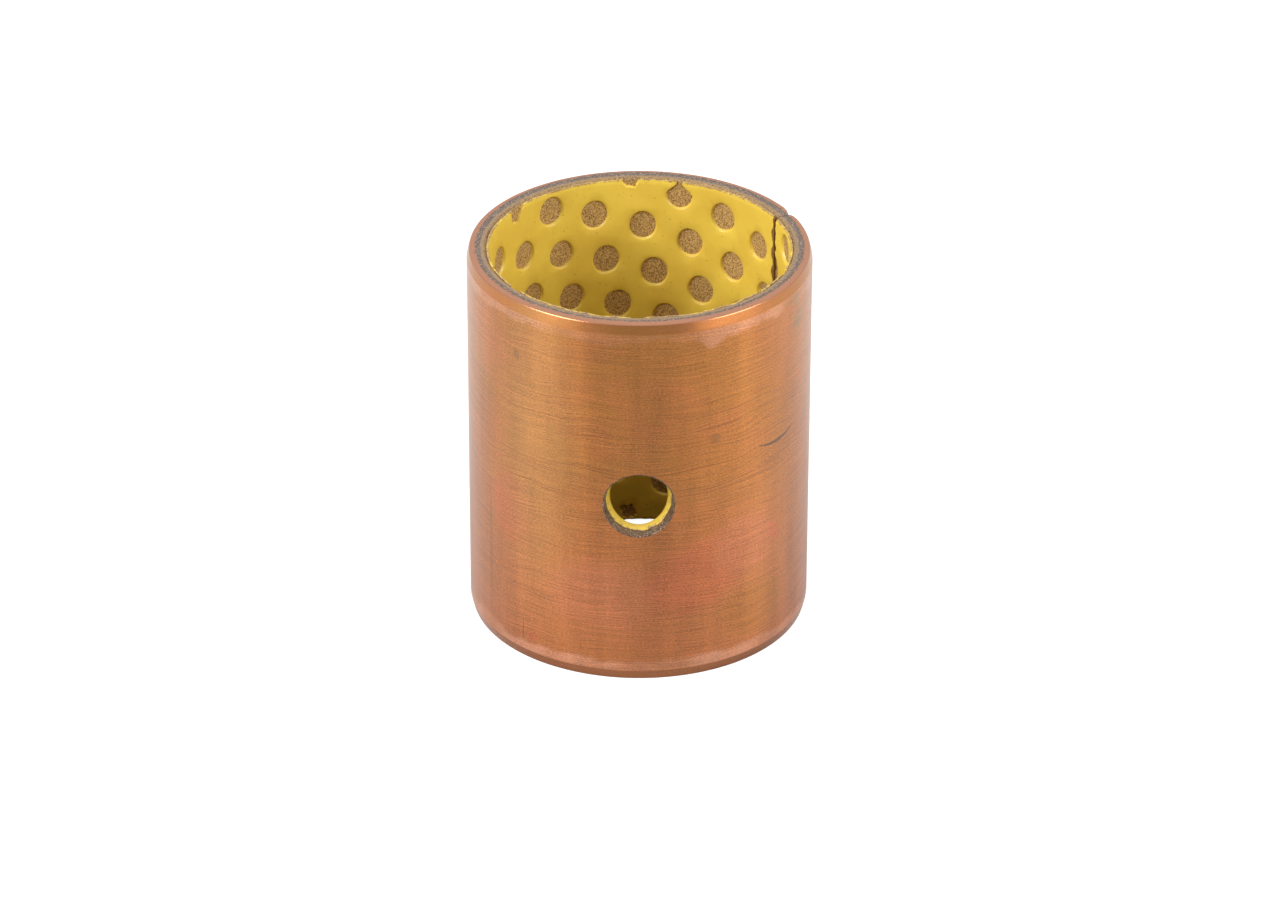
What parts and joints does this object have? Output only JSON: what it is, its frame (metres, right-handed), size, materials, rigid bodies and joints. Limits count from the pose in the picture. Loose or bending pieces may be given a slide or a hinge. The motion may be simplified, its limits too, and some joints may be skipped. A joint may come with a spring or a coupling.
{
  "type": "split plain bushing",
  "caption": "Rolled plain bushing of copper-plated steel with a butt joint, an oil hole and a yellow polymer lining covered with small grease indents.",
  "frame": {"origin": "on the bore axis, at the lower end face", "axes": "+Z along the bore towards the upper end, -Y through the oil hole, the butt joint at 25 degrees from +X towards +Y"},
  "size_m": [0.0344, 0.0344, 0.04],
  "materials": {
    "copper_plated_steel": "satin copper plating, rubbed and stained",
    "sintered_bronze": "dull and grainy",
    "yellow_polymer": "satin"
  },
  "bodies": {
    "root": {"steel_backing": "copper_plated_steel", "bronze_layer": "sintered_bronze", "polymer_lining": "yellow_polymer"}
  },
  "joints": []
}
